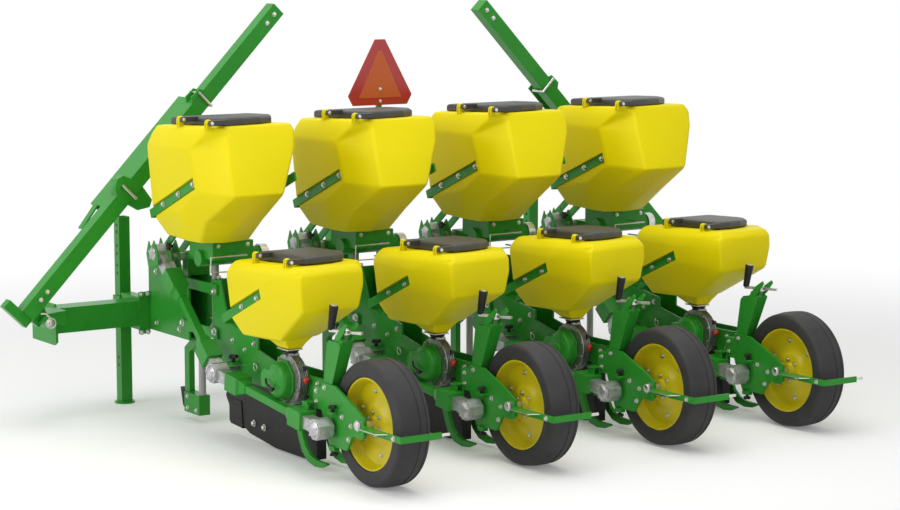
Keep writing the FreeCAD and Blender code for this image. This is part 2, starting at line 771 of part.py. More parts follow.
def make_cranks():
    screw = new_body("depth_cranks")
    end = [1.16 * top - 0.16 * foot for top, foot in zip(column_top, column_foot)]
    side_bar(screw, ROW - 80, 20, column_top, end, 20)
    top_pad(screw, 662, 12, box(-86, -8, 86, 8), at=(ROW - 70, 184), turn=115)
    four_rows(screw)
    grip = new_body("crank_grips")
    top_pad(grip, 674, 112, (ROW - 70 - 33, 184 + 70, 14))
    four_rows(grip)


def make_tubes():
    tube = new_body("fertiliser_tubes")
    path = new_sketch(tube, "YZ", (0, 0, ROW), [])
    stations = [(1530, link_top + 150), (1530, 520), (1680, 400), (1680, 140)]
    for i in range(3):
        u0, v0 = stations[i]
        u1, v1 = stations[i + 1]
        path.addGeometry(Part.LineSegment(FreeCAD.Vector(value(u0), value(v0), 0),
                                          FreeCAD.Vector(value(u1), value(v1), 0)))
        fix(path, "DistanceX", -1, 1, i, 1, u0)
        fix(path, "DistanceY", -1, 1, i, 1, v0)
        if i:
            path.addConstraint(Sketcher.Constraint("Coincident", i - 1, 2, i, 1))
    fix(path, "DistanceX", -1, 1, 2, 2, stations[3][0])
    fix(path, "DistanceY", -1, 1, 2, 2, stations[3][1])
    ring = new_sketch(tube, "XY", (0, 0, link_top + 150), [(ROW, 1530, 18)])
    pipe = tube.newObject("PartDesign::AdditivePipe", "tube_pipe")
    pipe.Profile = ring
    pipe.Spine = path
    pipe.Transition = "Right corner"
    tube.Tip = pipe
    four_rows(tube)


def make_emblem():
    """Slow-moving-vehicle sign on its post: a triangle with cut corners."""
    post = new_body("emblem_post")
    rear_pad(post, BAR_REAR, 24, box(sign_x - 12, BAR_LOW, sign_x + 12, sign_z + 60))
    sign = new_body("slow_vehicle_emblem")
    w = sign_w / 2
    rear_pad(sign, BAR_REAR - 24, 4, [(sign_x - w + 30, sign_z), (sign_x + w - 30, sign_z),
                                      (sign_x + w, sign_z + 52), (sign_x + 32, sign_z + sign_h),
                                      (sign_x - 32, sign_z + sign_h), (sign_x - w, sign_z + 52)])


make_toolbar()
make_hitch()
make_markers()
make_stands()
make_emblem()
make_row_frames()
make_wheel_arms()
for wheel in (1, 2, 3, 4):
    make_wheel(wheel)
make_ground_tools()
make_fert_hoppers()
make_seed_hoppers()
make_lids()
make_supports()
make_drives()
make_cranks()
make_tubes()
doc.recompute()

# ---------------------------------------------------------------- checks and export
for item in doc.Objects:
    if "Invalid" in item.State or "Error" in item.State:
        raise RuntimeError("%s failed: %s" % (item.Name, item.State))
os.makedirs("parts", exist_ok=True)
for body in sub_parts:
    if body.Shape.isNull() or not body.Shape.isValid():
        raise RuntimeError(body.Label + " has no valid shape")
    body.Shape.exportStep("parts/%s.step" % body.Label)
total = Part.makeCompound([body.Shape for body in sub_parts]).BoundBox
print("box", [round(item, 2) for item in (total.XMin, total.XMax, total.YMin, total.YMax, total.ZMin, total.ZMax)])
print(len(sub_parts), "parts")
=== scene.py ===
"""Looks of the four-row planter: shells, tyres, small fittings, finishes, floor, lights and camera."""

import json
import math

import bmesh
import bpy
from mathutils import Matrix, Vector


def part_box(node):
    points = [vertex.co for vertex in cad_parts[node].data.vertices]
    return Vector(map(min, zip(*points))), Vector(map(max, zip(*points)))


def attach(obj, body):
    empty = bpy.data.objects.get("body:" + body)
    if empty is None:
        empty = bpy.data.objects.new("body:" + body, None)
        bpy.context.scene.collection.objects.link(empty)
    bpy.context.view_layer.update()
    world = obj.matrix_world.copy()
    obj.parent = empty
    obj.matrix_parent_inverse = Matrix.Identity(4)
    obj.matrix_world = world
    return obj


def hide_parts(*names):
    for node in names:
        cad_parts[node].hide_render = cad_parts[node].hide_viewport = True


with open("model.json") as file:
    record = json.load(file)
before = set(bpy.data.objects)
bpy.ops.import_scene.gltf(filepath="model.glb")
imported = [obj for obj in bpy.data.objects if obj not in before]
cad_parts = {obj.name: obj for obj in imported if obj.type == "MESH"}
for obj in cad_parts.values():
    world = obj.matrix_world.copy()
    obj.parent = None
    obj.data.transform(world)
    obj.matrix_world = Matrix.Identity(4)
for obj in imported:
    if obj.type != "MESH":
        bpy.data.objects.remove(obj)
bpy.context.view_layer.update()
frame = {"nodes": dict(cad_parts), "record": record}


# ---------------------------------------------------------------- places and directions
def middle(node):
    """Centre of a node's box."""
    low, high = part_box(node)
    return (Vector(low) + Vector(high)) / 2


AXLE = middle("tyre_1")
ROWS = [middle("tyre_%d" % number).x for number in (1, 2, 3, 4)]
WHEEL_R = AXLE.z
MM = 0.001
RIGHT = Vector((1, 0, 0))
AHEAD = Vector((0, 1, 0))
ABOVE = Vector((0, 0, 1))
SQUARE = ((-1, -1), (1, -1), (1, 1), (-1, 1))


def at(row, x, y, z):
    """Point of a row unit: millimetres right of its centre, ahead of its axle and above ground."""
    return Vector((ROWS[row] + x * MM, AXLE.y + y * MM, z * MM))


def metres(corners):
    """Corners of an outline given in millimetres."""
    return [(u * MM, v * MM) for u, v in corners]


def across(axis):
    """Two unit vectors square to an axis and to each other."""
    axis = axis.normalized()
    helper = Vector((0, 0, 1)) if abs(axis.z) < 0.9 else Vector((0, 1, 0))
    side = helper.cross(axis).normalized()
    return side, axis.cross(side)


def spoke(side, up, angle):
    """Unit vector at an angle from side towards up."""
    return side * math.cos(angle) + up * math.sin(angle)


def circle(centre, side, up, radius, count):
    """Points round a centre in the plane of side and up."""
    return [centre + spoke(side, up, 2 * math.pi * i / count) * radius for i in range(count)]


def polygon(radius, sides, turn=0.0):
    """Corners of a regular polygon round the origin of its plane."""
    corners = []
    for i in range(sides):
        angle = turn + 2 * math.pi * i / sides
        corners.append((radius * math.cos(angle), radius * math.sin(angle)))
    return corners


def loop_of(centre, axis, radius, count=24):
    """Closed ring of points for a bent wire."""
    side, up = across(axis)
    points = []
    for i in range(count + 1):
        angle = 2 * math.pi * i / count
        points.append(centre + side * radius * math.cos(angle) + up * radius * math.sin(angle))
    return points


# ---------------------------------------------------------------- mesh building
class Mesh:
    """Collects shapes in one bmesh and turns them into one riding piece."""

    def __init__(self, name, body="root"):
        self.name = name
        self.body = body
        self.bm = bmesh.new()

    def rings(self, loops, creased=()):
        """Closed solid skinned over loops of as many points; creased faces are split in two."""
        rows = [[self.bm.verts.new(point) for point in loop] for loop in loops]
        count = len(rows[0])
        for level, (a, b) in enumerate(zip(rows, rows[1:])):
            for i in range(count):
                j = (i + 1) % count
                if (level, i) in creased:
                    self.bm.faces.new((a[i], a[j], b[j]))
                    self.bm.faces.new((a[i], b[j], b[i]))
                else:
                    self.bm.faces.new((a[i], a[j], b[j], b[i]))
        self.bm.faces.new(rows[0][::-1])
        self.bm.faces.new(rows[-1])

    def prism(self, origin, side, up, push, corners):
        """Flat outline in the plane of side and up, thickened along push."""
        low = [origin + side * u + up * v for u, v in corners]
        self.rings([low, [point + push for point in low]])

    def side_plate(self, row, x, thickness, corners, y=0, z=0):
        """Plate in the plane of a row's side, its outline in metres from the point x, y, z."""
        self.prism(at(row, x, y, z), AHEAD, ABOVE, RIGHT * thickness * MM, corners)

    def block(self, centre, size):
        half = Vector(size) / 2
        low = [centre + Vector((x * half.x, y * half.y, -half.z)) for x, y in SQUARE]
        lift = Vector((0, 0, 2 * half.z))
        self.rings([low, [point + lift for point in low]])

    def rod(self, start, end, radius, sides=16):
        side, up = across(end - start)
        self.rings([circle(point, side, up, radius, sides) for point in (start, end)])

    def lathe(self, centre, axis, profile, sides=32):
        """Revolve (distance along axis, radius) points; a zero radius closes the end."""
        side, up = across(axis)
        axis = axis.normalized()
        self.rings([circle(centre + axis * along, side, up, max(radius, 1e-5), sides)
                    for along, radius in profile])

    def ring_lathe(self, centre, axis, profile, sides):
        """Revolve a closed (along, radius) outline that stays clear of the axis."""
        side, up = across(axis)
        axis = axis.normalized()
        rows = []
        for i in range(sides):
            way = spoke(side, up, 2 * math.pi * i / sides)
            points = [centre + axis * along + way * radius for along, radius in profile]
            rows.append([self.bm.verts.new(point) for point in points])
        count = len(profile)
        for i in range(sides):
            a = rows[i]
            b = rows[(i + 1) % sides]
            for k in range(count):
                m = (k + 1) % count
                self.bm.faces.new((a[k], a[m], b[m], b[k]))

    def pipe(self, points, radius, sides=12):
        """Round bar through points, mitred at each one."""
        loops = []
        count = len(points)
        side, up = across(points[1] - points[0])
        for i in range(count):
            before = (points[i] - points[max(i - 1, 0)]).normalized()
            after = (points[min(i + 1, count - 1)] - points[i]).normalized()
            way = (before + after).normalized()
            side = (side - way * side.dot(way)).normalized()
            up = way.cross(side)
            loops.append(circle(points[i], side, up, radius, sides))
        self.rings(loops)

    def bolt(self, seat, axis, size, height, washer=2 * MM):
        """Hex head with a domed end on a round washer; without one where its thickness is 0."""
        axis = axis.normalized()
        side, up = across(axis)
        if washer:
            self.rod(seat, seat + axis * washer, size * 1.35, 20)
        start = seat + axis * washer
        self.prism(start, side, up, axis * height, polygon(size, 6))
        dome = [(0, size * 0.72), (size * 0.2, size * 0.5), (size * 0.28, 0)]
        self.lathe(start + axis * height, axis, dome, 14)

    def finish(self, material, bevel=0.0, smooth=35.0, segments=2, replaces=()):
        """Close the mesh, shade it, bevel its edges and hand the piece to its body."""
        bmesh.ops.remove_doubles(self.bm, verts=self.bm.verts, dist=1e-6)
        bmesh.ops.recalc_face_normals(self.bm, faces=self.bm.faces)
        data = bpy.data.meshes.new(self.name)
        self.bm.to_mesh(data)
        self.bm.free()
        piece = bpy.data.objects.new(self.name, data)
        bpy.context.scene.collection.objects.link(piece)
        data.materials.append(material)
        data.shade_smooth()
        if bevel:
            cut = piece.modifiers.new("soft_edges", "BEVEL")
            cut.width = bevel
            cut.segments = segments
            cut.limit_method = "ANGLE"
            cut.angle_limit = math.radians(20)
        data.set_sharp_from_angle(angle=math.radians(smooth))
        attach(piece, self.body)
        if replaces:
            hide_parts(*replaces)
        return piece


# ---------------------------------------------------------------- materials
def new_material(name, colour, roughness, metallic=0.0, coat=0.0, gleam=0.5):
    material = bpy.data.materials.new(name)
    material.use_nodes = True
    shader = material.node_tree.nodes["Principled BSDF"]
    shader.inputs["Base Color"].default_value = (*colour, 1)
    shader.inputs["Roughness"].default_value = roughness
    shader.inputs["Metallic"].default_value = metallic
    shader.inputs["Coat Weight"].default_value = coat
    shader.inputs["Coat Roughness"].default_value = 0.12
    shader.inputs["Specular IOR Level"].default_value = gleam
    return material, material.node_tree, shader


def object_noise(tree, scale, detail=3.0, stretch=(1, 1, 1)):
    place = tree.nodes.new("ShaderNodeTexCoord")
    mapping = tree.nodes.new("ShaderNodeMapping")
    mapping.inputs["Scale"].default_value = stretch
    noise = tree.nodes.new("ShaderNodeTexNoise")
    noise.inputs["Scale"].default_value = scale
    noise.inputs["Detail"].default_value = detail
    tree.links.new(place.outputs["Object"], mapping.inputs["Vector"])
    tree.links.new(mapping.outputs["Vector"], noise.inputs["Vector"])
    return noise


def vary(tree, shader, noise, dark, light):
    """Blend two colours of the finish by a noise."""
    ramp = tree.nodes.new("ShaderNodeValToRGB")
    ramp.color_ramp.elements[0].position = 0.3
    ramp.color_ramp.elements[1].position = 0.7
    ramp.color_ramp.elements[0].color = (*dark, 1)
    ramp.color_ramp.elements[1].color = (*light, 1)
    tree.links.new(noise.outputs["Fac"], ramp.inputs["Fac"])
    tree.links.new(ramp.outputs["Color"], shader.inputs["Base Color"])


def roughen(tree, shader, noise, low, high):
    span = tree.nodes.new("ShaderNodeMapRange")
    span.inputs["To Min"].default_value = low
    span.inputs["To Max"].default_value = high
    tree.links.new(noise.outputs["Fac"], span.inputs["Value"])
    tree.links.new(span.outputs["Result"], shader.inputs["Roughness"])


def emboss(tree, shader, noise, strength, distance, edge):
    """Surface relief from a noise, over edges rounded by a bevel radius where one is given."""
    bump = tree.nodes.new("ShaderNodeBump")
    bump.inputs["Strength"].default_value = strength
    bump.inputs["Distance"].default_value = distance
    tree.links.new(noise.outputs["Fac"], bump.inputs["Height"])
    if edge:
        soft = tree.nodes.new("ShaderNodeBevel")
        soft.samples = 4
        soft.inputs["Radius"].default_value = edge
        tree.links.new(soft.outputs["Normal"], bump.inputs["Normal"])
    tree.links.new(bump.outputs["Normal"], shader.inputs["Normal"])


def new_finish(name, colour, roughness, tones, rough=None, relief=None, **shine):
    """Finish from noises.

    tones: scale and detail of the noise, the dark and the light colour.
    rough: scale of the noise, least and most roughness.
    relief: scale and detail of the noise, strength, depth, edge radius and stretch along Z.
    """
    material, tree, shader = new_material(name, colour, roughness, **shine)
    scale, detail, dark, light = tones
    vary(tree, shader, object_noise(tree, scale, detail), dark, light)
    if rough:
        scale, low, high = rough
        roughen(tree, shader, object_noise(tree, scale), low, high)
    if relief:
        scale, detail, strength, distance, edge, stretch = relief
        emboss(tree, shader, object_noise(tree, scale, detail, (1, 1, stretch)), strength, distance, edge)
    return material


GREEN = new_finish("green_paint", (0.02, 0.25, 0.02), 0.36,
                   (5.0, 3.0, (0.024, 0.275, 0.023), (0.031, 0.310, 0.029)),
                   (30.0, 0.26, 0.38), (420.0, 2.0, 0.05, 0.0006, 0.0025, 1), coat=0.06, gleam=0.22)
YELLOW = new_finish("rim_yellow_paint", (0.66, 0.54, 0.008), 0.34,
                    (6.0, 3.0, (0.66, 0.54, 0.006), (0.72, 0.60, 0.010)),
                    None, (420.0, 2.0, 0.05, 0.0006, 0.002, 1), coat=0.1, gleam=0.3)
HOPPER = new_finish("hopper_plastic", (0.95, 0.80, 0.001), 0.42,
                    (3.0, 3.0, (0.86, 0.725, 0.001), (0.89, 0.75, 0.002)),
                    (18.0, 0.40, 0.50), (900.0, 3.0, 0.08, 0.0004, 0, 1), gleam=0.16)
LID = new_finish("lid_plastic", (0.022, 0.022, 0.020), 0.46,
                 (8.0, 3.0, (0.020, 0.020, 0.018), (0.028, 0.027, 0.025)),
                 None, (1200.0, 3.0, 0.15, 0.0004, 0, 1), gleam=0.7)
BLACK = new_finish("black_plastic", (0.010, 0.010, 0.010), 0.38,
                   (30.0, 3.0, (0.008, 0.008, 0.008), (0.014, 0.013, 0.012)),
                   None, (1200.0, 2.0, 0.1, 0.0003, 0, 1), gleam=0.3)
BLACK_PAINT = new_finish("black_paint", (0.008, 0.008, 0.008), 0.42,
                         (12.0, 3.0, (0.006, 0.006, 0.006), (0.012, 0.012, 0.011)),
                         (40.0, 0.32, 0.5), (300.0, 3.0, 0.1, 0.0008, 0.002, 1), gleam=0.22)
RED = new_finish("red_plastic", (0.62, 0.02, 0.012), 0.3,
                 (40.0, 3.0, (0.58, 0.017, 0.010), (0.66, 0.026, 0.016)), coat=0.3)
RUBBER = new_finish("tyre_rubber", (0.034, 0.033, 0.034), 0.62,
                    (9.0, 3.0, (0.028, 0.027, 0.028), (0.040, 0.039, 0.040)),
                    (25.0, 0.52, 0.7), (700.0, 4.0, 0.25, 0.0006, 0, 1), gleam=0.35)
STEEL = new_finish("bright_steel", (0.62, 0.61, 0.58), 0.3,
                   (60.0, 3.0, (0.55, 0.54, 0.50), (0.70, 0.69, 0.67)),
                   (120.0, 0.22, 0.42), (500.0, 3.0, 0.08, 0.0004, 0.001, 1), metallic=1.0)
CAST = new_finish("cast_metal", (0.50, 0.50, 0.51), 0.45,
                  (40.0, 3.0, (0.40, 0.40, 0.41), (0.60, 0.60, 0.61)),
                  (90.0, 0.36, 0.56), (650.0, 4.0, 0.3, 0.0008, 0.0015, 1), metallic=0.9)
METER = new_finish("meter_metal", (0.30, 0.30, 0.28), 0.38,
                   (60.0, 3.0, (0.22, 0.22, 0.21), (0.38, 0.38, 0.36)),
                   (90.0, 0.34, 0.52), (650.0, 3.0, 0.15, 0.0005, 0.001, 1), metallic=0.9)
TUBE = new_finish("tube_plastic", (0.36, 0.37, 0.36), 0.4,
                  (14.0, 3.0, (0.33, 0.34, 0.33), (0.41, 0.42, 0.41)),
                  None, (240.0, 2.0, 0.2, 0.0008, 0, 8))
ORANGE = new_finish("emblem_orange", (0.60, 0.11, 0.015), 0.35,
                    (260.0, 1.0, (0.57, 0.10, 0.012), (0.64, 0.125, 0.02)), coat=0.2)
EMBLEM_RED = new_finish("emblem_red", (0.48, 0.022, 0.018), 0.25,
                        (320.0, 1.0, (0.44, 0.018, 0.015), (0.53, 0.03, 0.024)), coat=0.5)

FINISHES = {
    "green_paint": GREEN, "rim_paint": YELLOW, "hopper_plastic": HOPPER, "lid_plastic": LID,
    "black_plastic": BLACK, "tube_plastic": TUBE, "tyre_rubber": RUBBER, "bright_steel": STEEL,
    "dark_steel": BLACK_PAINT, "cast_metal": CAST, "emblem_plastic": ORANGE}
for part in frame["record"]["subparts"]:
    node = frame["nodes"][part["node"]]
    node.data.materials.clear()
    node.data.materials.append(FINISHES[part["material_slot"]])


# ---------------------------------------------------------------- wheels
GROOVES = (0.016, 0.052)
GROOVE_SECTION = ((-0.006, 0), (-0.0035, 0.0035), (0.0035, 0.0035), (0.006, 0))


def make_tyre(row, centre):
    """Rounded shoulders, two tread grooves and a slight crown."""
    number = row + 1
    low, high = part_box("tyre_%d" % number)
    half = (high[0] - low[0]) / 2
    rim_low, rim_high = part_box("rim_%d" % number)
    seat = (rim_high[2] - rim_low[2]) / 2
    edge = (rim_high[0] - rim_low[0]) / 2
    crown = 0.0055
    shoulder = 0.020
    shoulder_foot = WHEEL_R - 0.026
    steps = 6

    def tread(x, deep=0.0):
        return (x, WHEEL_R - crown * (x / half) ** 2 - deep)

    def corner(side, turn):
        angle = math.pi / 2 * turn
        inset = shoulder * (1 - math.cos(angle))
        return (side * (half - inset), shoulder_foot + shoulder * math.sin(angle))

    wall = [(edge, seat), (half - 0.004, seat + 0.006), (half, seat + 0.022), (half, WHEEL_R - 0.036)]
    outline = [(-x, radius) for x, radius in wall]
    outline += [corner(-1, step / steps) for step in range(steps + 1)]
    outline.append(tread(-0.02))
    outline += [tread(groove + offset, deep) for groove in GROOVES for offset, deep in GROOVE_SECTION]
    outline += [corner(1, 1 - step / steps) for step in range(steps + 1)]
    outline += wall[::-1]
    tyre = Mesh("tyre_rubber_%d" % number, "press_wheel_%d" % number)
    tyre.ring_lathe(centre, RIGHT, outline, 128)
    tyre.finish(RUBBER, replaces=["tyre_%d" % number])


def make_rim(row, centre):
    """Dished disc between two rolled lips, with its hub and two circles of bolts."""
    name = "rim_%d" % (row + 1)
    body = "press_wheel_%d" % (row + 1)
    low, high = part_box(name)
    seat = (high[2] - low[2]) / 2
    edge = (high[0] - low[0]) / 2
    bore = 0.0153
    outer_lip = [(0, 0), (-0.004, 0.001), (-0.005, -0.006), (0.002, -0.010), (0.012, -0.012), (0.028, -0.016)]
    outer_dish = [(0.044, -0.023), (0.050, -0.040), (0.050, -0.085), (0.046, -0.105), (0.032, -0.122),
                  (0.028, -0.132)]
    hub = [(-edge + 0.028, 0.036), (-edge + 0.024, 0.033), (-edge + 0.012, 0.031), (-edge + 0.012, bore),
           (edge - 0.022, bore), (edge - 0.022, 0.033), (-edge + 0.040, 0.036)]
    inner_dish = [(0.036, -0.130), (0.040, -0.116), (0.056, -0.100), (0.058, -0.040), (0.052, -0.018)]
    inner_lip = [(-0.002, -0.008), (0.005, -0.006), (0.004, 0.001), (0, 0)]
    outline = [(-edge + x, seat + drop) for x, drop in outer_lip + outer_dish]
    outline += hub
    outline += [(-edge + x, seat + drop) for x, drop in inner_dish]
    outline += [(edge + x, seat + drop) for x, drop in inner_lip]
    disc = Mesh(name + "_disc", body)
    disc.ring_lathe(centre, RIGHT, outline, 96)
    disc.finish(YELLOW, smooth=30, replaces=[name])
    bolts = Mesh(name + "_bolts", body)
    count = 6
    for radius, size, depth in ((0.142, 8.5, 0.050), (0.052, 7.5, 0.027)):
        for i in range(count):
            way = spoke(AHEAD, ABOVE, 2 * math.pi * (i + 0.35) / count)
            bolts.bolt(centre + RIGHT * (-edge + depth) + way * radius, -RIGHT, size * MM, 6 * MM)
    bolts.finish(STEEL, smooth=30)


# ---------------------------------------------------------------- hoppers
def slot_outline(start, end, flare):
    """Slot along a strap's line, opened below by a slope of the given height."""
    half = 23
    reach = 600
    run = Vector((end[0] - start[0], end[1] - start[1])).normalized()
    up = Vector((-run.y, run.x))
    corners = []
    for along, over in ((-3, half), (reach, half), (reach, -half - flare), (-3, -half - flare)):
        corners.append((start[0] + run.x * along + up.x * over, start[1] + run.y * along + up.y * over))
    return corners


def make_hopper(kind, row, rings, creased, strap, slots):
    """Moulded tank: rings of corners from floor to deck, rounded edges, slots cut for its straps."""
    body = Mesh("%s_hopper_%d_shell" % (kind, row + 1))
    body.rings([[at(row, *corner) for corner in ring] for ring in rings], creased)
    piece = body.finish(HOPPER, bevel=0.013, smooth=60, segments=4,
                        replaces=[kind + "_hoppers"])
    piece.modifiers["soft_edges"].use_clamp_overlap = False
    piece.modifiers["soft_edges"].angle_limit = math.radians(7)
    cutter = Mesh("cutter")
    for flare, low_x, high_x in slots:
        cutter.side_plate(row, low_x, high_x - low_x, metres(slot_outline(*strap, flare)))
    tool = cutter.finish(HOPPER)
    cut = piece.modifiers.new("strap_slots", "BOOLEAN")
    cut.object = tool
    cut.operation = "DIFFERENCE"
    cut.solver = "EXACT"
    bpy.context.view_layer.update()
    graph = bpy.context.evaluated_depsgraph_get()
    data = bpy.data.meshes.new_from_object(piece.evaluated_get(graph), depsgraph=graph)
    piece.modifiers.clear()
    piece.data = data
    bpy.data.objects.remove(tool)
    piece.data.shade_smooth()
    piece.data.set_sharp_from_angle(angle=math.radians(40))


# Corners of each level, from the front end of the left wall round the rear to the front wall.
FERT_RINGS = [
    [(-226, 1590, 964), (-232, 1380, 958), (-196, 1302, 950), (-80, 1272, 948), (60, 1310, 948),
     (120, 1390, 950), (140, 1560, 962), (110, 1610, 966), (-190, 1620, 968)],
    [(-285, 1625, 1064), (-285, 1340, 1109), (-236, 1178, 1067), (-74, 1125, 1053), (40, 1125, 1065),
     (268, 1520, 1070), (268, 1625, 1068), (222, 1672, 1066), (-235, 1672, 1066)],
    [(-285, 1650, 1205), (-285, 1165, 1210), (-224, 919, 1205), (-64, 919, 1205), (40, 919, 1205),
     (272, 1341, 1205), (272, 1650, 1205), (222, 1700, 1205), (-235, 1700, 1205)],
    [(-290, 1672, 1402), (-287, 1235, 1405), (-189, 1036, 1408), (-2, 1036, 1404), (165, 1036, 1408),
     (272, 1231, 1408), (272, 1650, 1402), (222, 1700, 1400), (-240, 1712, 1400)],
    [(-270, 1655, 1458), (-260, 1160, 1474), (-176, 1079, 1483), (20, 1079, 1480), (189, 1079, 1485),
     (260, 1197, 1476), (260, 1640, 1458), (212, 1690, 1456), (-220, 1695, 1456)],
    [(-250, 1640, 1495), (-240, 1136, 1518), (-200, 1104, 1520), (-10, 1100, 1520), (172, 1102, 1520),
     (248, 1214, 1513), (256, 1640, 1495), (210, 1676, 1494), (-204, 1678, 1494)]]

SEED_RINGS = [
    [(-212, 868, 572), (-216, 672, 584), (-188, 560, 582), (-60, 592, 577), (50, 640, 576),
     (104, 690, 575), (112, 845, 573), (84, 885, 573), (-184, 890, 571)],
    [(-240, 930, 648), (-240, 640, 765), (-213, 319, 745), (-60, 319, 742), (78, 319, 745),
     (224, 560, 750), (224, 935, 700), (180, 975, 690), (-200, 975, 660)],
    [(-243, 972, 850), (-240, 625, 847), (-221, 319, 850), (-60, 319, 850), (104, 319, 850),
     (224, 537, 850), (224, 955, 850), (180, 1000, 848), (-200, 1006, 850)],
    [(-232, 962, 882), (-228, 560, 898), (-222, 322, 914), (-60, 322, 914), (102, 322, 914),
     (218, 520, 906), (218, 945, 884), (174, 988, 882), (-190, 994, 882)],
    [(-208, 944, 912), (-200, 440, 938), (-186, 354, 940), (-60, 352, 940), (92, 352, 940),
     (194, 510, 934), (194, 930, 913), (156, 970, 911), (-166, 974, 911)]]

FERT_STRAP = ((1202, 1257), (1684, 1061))
SEED_STRAP = ((658, 795), (1045, 626))

# Flare below each slot, and the slot's reach from left to right.
FERT_SLOTS = ((14, -330, -262), (4, 260, 320))
SEED_SLOTS = ((4, -270, -216), (4, 214, 260))

# Hinge pins' place, height and stations; the lid's base, its fall for each step ahead, and its outline.
LIDS = {
    "fertiliser": {
        "x": -242, "z": 1537, "stations": (1114, 1397), "base": 1521, "fall": 0.045,
        "plan": [(-176, 1104), (-60, 1122), (60, 1168), (168, 1258), (244, 1396), (258, 1440), (258, 1650),
                 (-176, 1650)]},
    "seed": {
        "x": -195, "z": 955, "stations": (470, 755), "base": 939, "fall": 0.05,
        "plan": [(-138, 440), (-60, 436), (30, 462), (110, 506), (164, 590), (176, 640), (176, 898),
                 (-138, 898)]}}


def make_hopper_ears(row):
    """Forked yellow ears with a hook over each hinge pin."""
    ears = Mesh("hopper_ears_%d" % (row + 1))
    fork = [(-14, -36), (14, -36), (13, 2), (9, 11), (0, 15), (-9, 11), (-13, 2)]
    hook = [(-6, 9), (10, 9), (10, 15), (-2, 15)]
    for hinge in LIDS.values():
        for y in hinge["stations"]:
            for start, thickness, outline in ((3, 8, fork), (19, 8, fork), (1, 26, hook)):
                ears.prism(at(row, hinge["x"], y + start, hinge["z"]), RIGHT, ABOVE,
                           AHEAD * thickness * MM, metres(outline))
    ears.finish(HOPPER, bevel=0.0022)


def make_throat(row):
    """Outlet funnel of the seed hopper with its bright lip and black neck."""
    funnel = Mesh("seed_throat_%d" % (row + 1))
    rings = []
    for left, right, rear, front, left_z, right_z in (
            (-150, 10, 590, 800, 600, 590), (-136, -30, 600, 760, 560, 556), (-124, -50, 606, 700, 534, 531)):
        rings.append([at(row, left, rear, left_z), at(row, right, rear, right_z),
                      at(row, right, front, right_z), at(row, left, front, left_z)])
    funnel.rings(rings)
    funnel.finish(HOPPER, bevel=0.008, segments=3)
    lip = Mesh("seed_throat_lip_%d" % (row + 1))
    lip.block(at(row, -87, 653, 529), (0.082, 0.102, 0.006))
    lip.finish(STEEL, bevel=0.002)
    neck = Mesh("seed_neck_%d" % (row + 1))
    neck.lathe(at(row, -85, 646, 527), -ABOVE, [
        (0, 0.036), (0.006, 0.038), (0.010, 0.036), (0.012, 0.032), (0.018, 0.034), (0.022, 0.032),
        (0.030, 0.026), (0.040, 0.024)], 24)
    neck.finish(BLACK, smooth=40, replaces=["meter_necks"])


# ---------------------------------------------------------------- lids
def rounded(corners, radius, steps=5):
    """Outline in the plane with its corners rounded."""
    points = []
    count = len(corners)
    for i in range(count):
        before = Vector(corners[i - 1])
        here = Vector(corners[i])
        after = Vector(corners[(i + 1) % count])
        back = (before - here).normalized()
        on = (after - here).normalized()
        half_angle = math.acos(max(-1, min(1, back.dot(on)))) / 2
        reach = min(radius / max(math.tan(half_angle), 1e-3), 0.45 * (before - here).length,
                    0.45 * (after - here).length)
        start = here + back * reach
        end = here + on * reach
        for step in range(steps + 1):
            t = step / steps
            points.append(start * (1 - t) ** 2 + here * 2 * t * (1 - t) + end * t ** 2)
    return points


# Inset from the outline and height of the lid's skirt, stepped rim and crown.
LID_SECTION = ((3, 0), (0, 3), (0, 22), (1, 25), (4, 30), (9, 33), (16, 35), (60, 37.5), (120, 39))


def make_lid(kind, row):
    """Crowned lid with a deep skirt, a stepped rim and two hinge lugs."""
    name = "%s_lid_%d" % (kind, row + 1)
    shape = LIDS[kind]
    lid = Mesh(name + "_cover", name + "_flap")
    outline = rounded(shape["plan"], 26)
    centre = sum(outline, Vector((0, 0))) / len(outline)
    loops = []
    for inset, height in LID_SECTION:
        loop = []
        for point in outline:
            inward = centre - point
            place = point + inward.normalized() * min(inset, inward.length * 0.8)
            fall = shape["fall"] * (place.y - shape["stations"][0])
            loop.append(at(row, place.x, place.y, shape["base"] + height - fall))
        loops.append(loop)
    lid.rings(loops)
    reach = shape["plan"][0][0] - shape["x"] + 12
    lug = [(-11, -8), (-8, 9), (0, 12), (10, 13), (reach, 13), (reach, -9), (0, -13), (-8, -11)]
    for y in shape["stations"]:
        lid.prism(at(row, shape["x"], y - 27, shape["z"]), RIGHT, ABOVE, AHEAD * 23.5 * MM, metres(lug))
    lid.finish(LID, smooth=38, bevel=0.0025, replaces=[name])


def make_hinge_pins(row):
    """Headed pins, each held by a bent split pin."""
    pins = Mesh("hinge_pin_heads_%d" % (row + 1))
    head = [(0, 0.0085), (0.003, 0.0085), (0.0045, 0.0068), (0.005, 0)]
    for hinge in LIDS.values():
        x = hinge["x"]
        z = hinge["z"]
        for y in hinge["stations"]:
            pins.lathe(at(row, x, y - 28, z), -AHEAD, head, 20)
            pins.rod(at(row, x, y - 29, z), at(row, x, y + 34, z), 0.0065)
            pins.pipe([at(row, x, y + 32, z + 12), at(row, x, y + 32, z - 8), at(row, x - 8, y + 34, z - 12)],
                      0.0015, 8)
    pins.finish(STEEL, smooth=35, replaces=["lid_hinge_pins"])


# ---------------------------------------------------------------- fittings of the row units
# Middles of the gearboxes on each row's left, ahead of the axle and above ground.
DRIVE_FRONT = (1785, 850)
DRIVE_MIDDLE = (1203, 341)
DRIVE_REAR = (240, 235)

